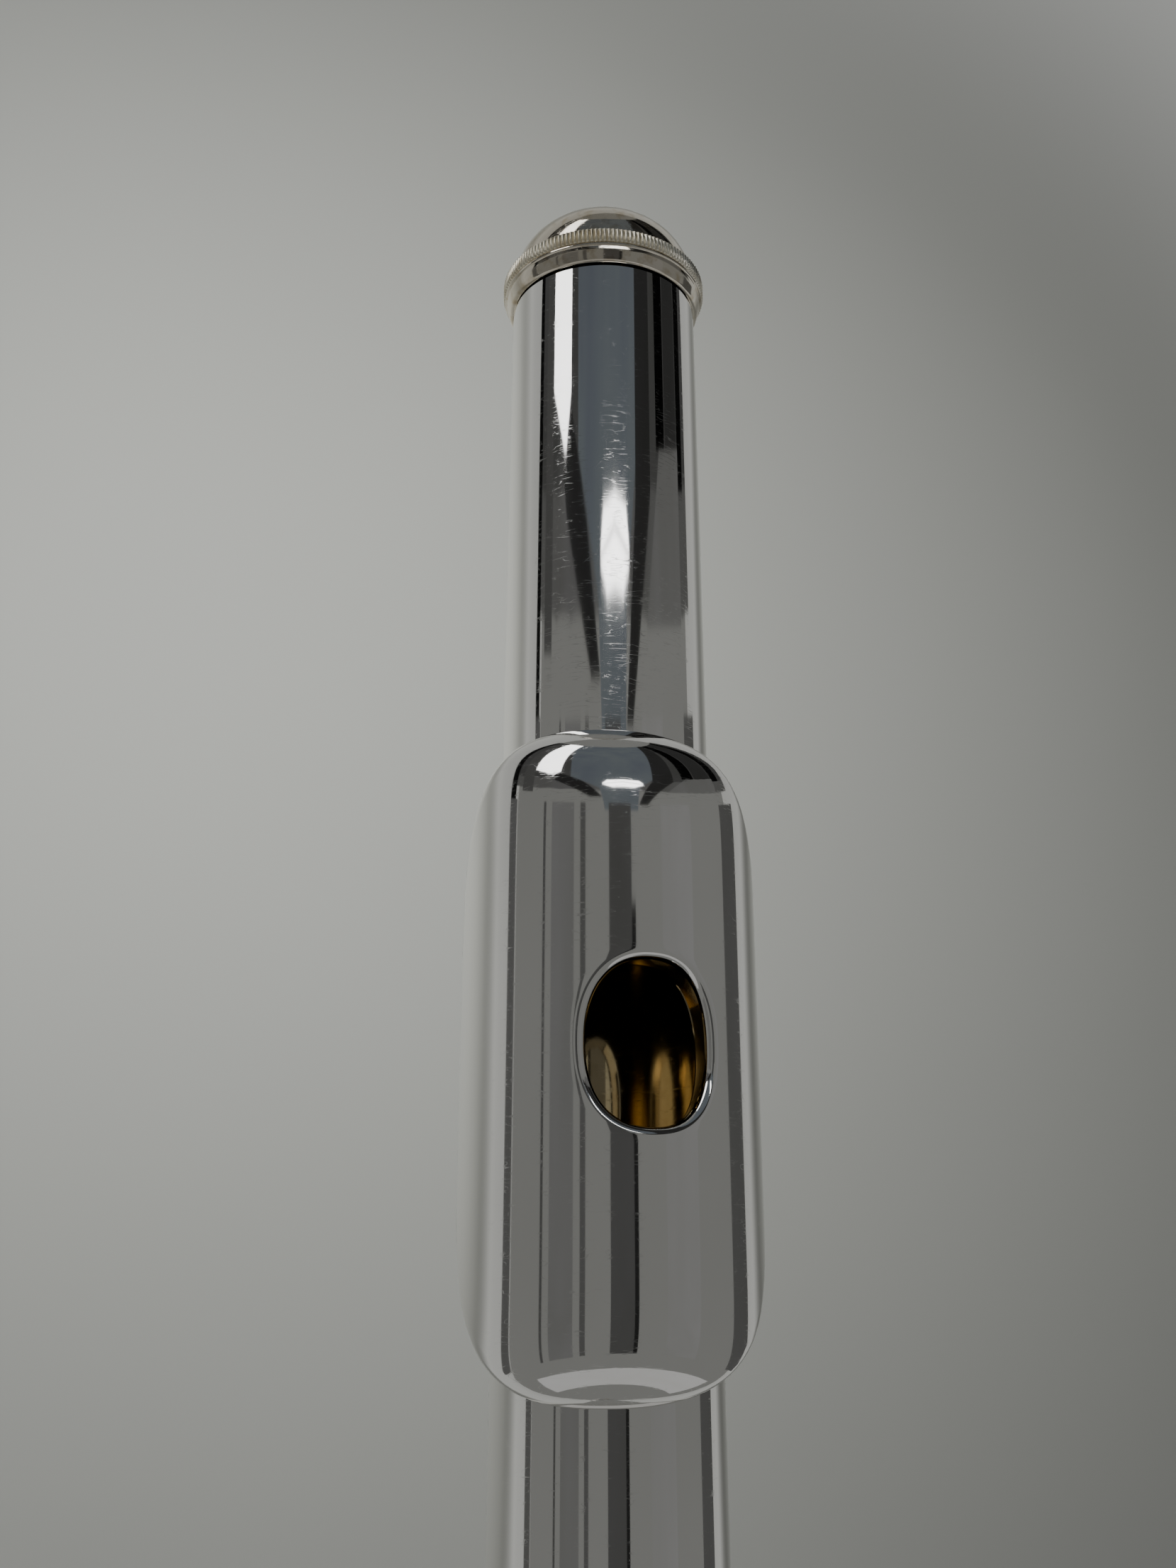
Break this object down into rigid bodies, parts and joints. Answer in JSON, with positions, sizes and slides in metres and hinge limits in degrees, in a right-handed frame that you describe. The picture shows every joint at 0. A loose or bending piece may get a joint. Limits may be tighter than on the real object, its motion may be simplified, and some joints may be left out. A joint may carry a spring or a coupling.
{
  "type": "concert flute",
  "caption": "Three-piece concert flute with an oval lip plate, knurled crown with adjustable stopper, offset G keys, sprung closed-hole keywork on rods, and a turning C foot.",
  "frame": {"origin": "centre of the bounding box's underside", "axes": "+X along the tube from the crown to the foot's open end, +Z the way the embouchure hole faces, -Y the player's side with the rods"},
  "size_m": [0.6862, 0.0394, 0.0379],
  "materials": {
    "silver": "polished silver plate with fine wiping scratches",
    "crown_silver": "polished silver plate with light tarnish in the knurl",
    "steel": "plain bright steel",
    "cork": "matt cork",
    "pad_skin": "thin skin over felt",
    "black_roller": "polished"
  },
  "bodies": {
    "body": {"body_tube": "silver", "barrel": "silver", "main_rib": "silver", "g_rib": "silver", "thumb_rib": "silver", "left_hand_steel": "steel", "right_hand_steel": "steel", "g_steel": "steel", "thumb_steel": "steel", "outer_steel": "steel"},
    "head": {"head_tube": "silver", "lip_plate": "silver", "riser": "silver"},
    "crown": {"crown": "crown_silver"},
    "stopper": {"stopper_screw": "steel", "stopper_nut_plate": "steel", "stopper_cork": "cork", "reflector_plate": "silver"},
    "foot": {"foot_tube": "silver", "foot_socket": "silver", "foot_rib": "silver"},
    "c_key": {"c_key": "silver", "c_sharp_pad": "pad_skin"},
    "bb_key": {"bb_key": "silver", "bb_pad": "pad_skin"},
    "a_key": {"a_key": "silver", "a_pad": "pad_skin"},
    "g_key": {"g_key": "silver", "g_upper_pad": "pad_skin", "g_lower_pad": "pad_skin"},
    "gsharp_key": {"gsharp_key": "silver", "gsharp_pad": "pad_skin"},
    "side_bb_lever": {"side_bb_lever": "silver"},
    "dsharp_trill_key": {"dsharp_trill_key": "silver", "dsharp_trill_pad": "pad_skin"},
    "d_trill_key": {"d_trill_key": "silver", "d_trill_pad": "pad_skin"},
    "thumb_key": {"thumb_key": "silver", "thumb_pad": "pad_skin"},
    "thumb_bb_lever": {"thumb_bb_lever": "silver"},
    "fsharp_key": {"fsharp_key": "silver", "fsharp_pad": "pad_skin"},
    "f_key": {"f_key": "silver", "f_pad": "pad_skin"},
    "e_key": {"e_key": "silver", "e_pad": "pad_skin"},
    "d_key": {"d_key": "silver", "d_pad": "pad_skin"},
    "foot_dsharp_key": {"foot_dsharp_key": "silver", "foot_dsharp_pad": "pad_skin"},
    "foot_csharp_key": {"foot_csharp_key": "silver", "foot_csharp_pad": "pad_skin"},
    "foot_c_key": {"foot_c_key": "silver", "foot_c_pad": "pad_skin"},
    "roller": {"foot_roller": "black_roller"}
  },
  "joints": [
    {"name": "head_slide", "type": "slide", "parent": "body", "child": "head", "axis": [-1, 0, 0], "range_m": [0, 0.036]},
    {"name": "crown_turn", "type": "hinge", "parent": "head", "child": "crown", "pos_m": [-0.33594, 0.00633, 0.01908], "axis": [1, 0, 0], "range_deg": [-1090, 1090]},
    {"name": "stopper_slide", "type": "slide", "parent": "head", "child": "stopper", "axis": [1, 0, 0], "range_m": [-0.0024, 0.0024]},
    {"name": "foot_turn", "type": "hinge", "parent": "body", "child": "foot", "pos_m": [0.22206, 0.00633, 0.01908], "axis": [1, 0, 0], "range_deg": [-30, 30]},
    {"name": "c_key_hinge", "type": "hinge", "parent": "body", "child": "c_key", "pos_m": [-0.00494, -0.00665, 0.02959], "axis": [-1, 0, 0], "range_deg": [0, 10], "stiffness_Nm_per_rad": 0.015, "springref_deg": -5.73},
    {"name": "bb_key_hinge", "type": "hinge", "parent": "body", "child": "bb_key", "pos_m": [0.03106, -0.00665, 0.02959], "axis": [-1, 0, 0], "range_deg": [0, 10], "stiffness_Nm_per_rad": 0.015, "springref_deg": -5.73},
    {"name": "a_key_hinge", "type": "hinge", "parent": "body", "child": "a_key", "pos_m": [0.05106, -0.00665, 0.02959], "axis": [-1, 0, 0], "range_deg": [0, 10], "stiffness_Nm_per_rad": 0.015, "springref_deg": -5.73},
    {"name": "g_key_hinge", "type": "hinge", "parent": "body", "child": "g_key", "pos_m": [0.08406, -0.00227, 0.03339], "axis": [-1, 0, 0], "range_deg": [0, 10], "stiffness_Nm_per_rad": 0.015, "springref_deg": -5.73},
    {"name": "gsharp_key_hinge", "type": "hinge", "parent": "body", "child": "gsharp_key", "pos_m": [0.10406, -0.01226, 0.02629], "axis": [-1, 0, 0], "range_deg": [0, 9], "stiffness_Nm_per_rad": 0.015, "springref_deg": -5.73},
    {"name": "side_bb_lever_hinge", "type": "hinge", "parent": "body", "child": "side_bb_lever", "pos_m": [0.13106, -0.01226, 0.02629], "axis": [-1, 0, 0], "range_deg": [0, 6], "stiffness_Nm_per_rad": 0.015, "springref_deg": -5.73},
    {"name": "dsharp_trill_key_hinge", "type": "hinge", "parent": "body", "child": "dsharp_trill_key", "pos_m": [-0.05394, -0.00878, 0.02067], "axis": [1, 0, 0], "range_deg": [0, 8], "stiffness_Nm_per_rad": 0.015, "springref_deg": -5.73},
    {"name": "d_trill_key_hinge", "type": "hinge", "parent": "body", "child": "d_trill_key", "pos_m": [-0.03944, -0.00878, 0.02067], "axis": [1, 0, 0], "range_deg": [0, 8], "stiffness_Nm_per_rad": 0.015, "springref_deg": -5.73},
    {"name": "thumb_key_hinge", "type": "hinge", "parent": "body", "child": "thumb_key", "pos_m": [0.01106, -0.00987, 0.01504], "axis": [1, 0, 0], "range_deg": [0, 10], "stiffness_Nm_per_rad": 0.015, "springref_deg": -5.73},
    {"name": "thumb_bb_lever_hinge", "type": "hinge", "parent": "body", "child": "thumb_bb_lever", "pos_m": [-0.00394, -0.00987, 0.01504], "axis": [1, 0, 0], "range_deg": [0, 10], "stiffness_Nm_per_rad": 0.015, "springref_deg": -5.73},
    {"name": "fsharp_key_hinge", "type": "hinge", "parent": "body", "child": "fsharp_key", "pos_m": [0.12106, -0.00665, 0.02959], "axis": [-1, 0, 0], "range_deg": [0, 10], "stiffness_Nm_per_rad": 0.015, "springref_deg": -5.73},
    {"name": "f_key_hinge", "type": "hinge", "parent": "body", "child": "f_key", "pos_m": [0.14706, -0.00665, 0.02959], "axis": [-1, 0, 0], "range_deg": [0, 10], "stiffness_Nm_per_rad": 0.015, "springref_deg": -5.73},
    {"name": "e_key_hinge", "type": "hinge", "parent": "body", "child": "e_key", "pos_m": [0.17406, -0.00665, 0.02959], "axis": [-1, 0, 0], "range_deg": [0, 10], "stiffness_Nm_per_rad": 0.015, "springref_deg": -5.73},
    {"name": "d_key_hinge", "type": "hinge", "parent": "body", "child": "d_key", "pos_m": [0.20106, -0.00665, 0.02959], "axis": [-1, 0, 0], "range_deg": [0, 10], "stiffness_Nm_per_rad": 0.015, "springref_deg": -5.73},
    {"name": "foot_dsharp_key_hinge", "type": "hinge", "parent": "foot", "child": "foot_dsharp_key", "pos_m": [0.24006, -0.00665, 0.02959], "axis": [-1, 0, 0], "range_deg": [0, 9], "stiffness_Nm_per_rad": 0.015, "springref_deg": -5.73},
    {"name": "foot_csharp_key_hinge", "type": "hinge", "parent": "foot", "child": "foot_csharp_key", "pos_m": [0.26906, -0.00665, 0.02959], "axis": [-1, 0, 0], "range_deg": [0, 10], "stiffness_Nm_per_rad": 0.015, "springref_deg": -5.73},
    {"name": "foot_c_key_hinge", "type": "hinge", "parent": "foot", "child": "foot_c_key", "pos_m": [0.30206, -0.00665, 0.02959], "axis": [-1, 0, 0], "range_deg": [0, 10], "stiffness_Nm_per_rad": 0.015, "springref_deg": -5.73},
    {"name": "roller_turn", "type": "hinge", "parent": "foot_c_key", "child": "roller", "pos_m": [0.24606, -0.00664, 0.03577], "axis": [1, 0, 0], "continuous": true}
  ],
  "couplings": [
    {"joint": "crown_turn", "follows": "stopper_slide", "rad_per_m": -7854},
    {"joint": "bb_key_hinge", "follows": "a_key_hinge", "ratio": 1},
    {"joint": "fsharp_key_hinge", "follows": "f_key_hinge", "ratio": 1}
  ]
}
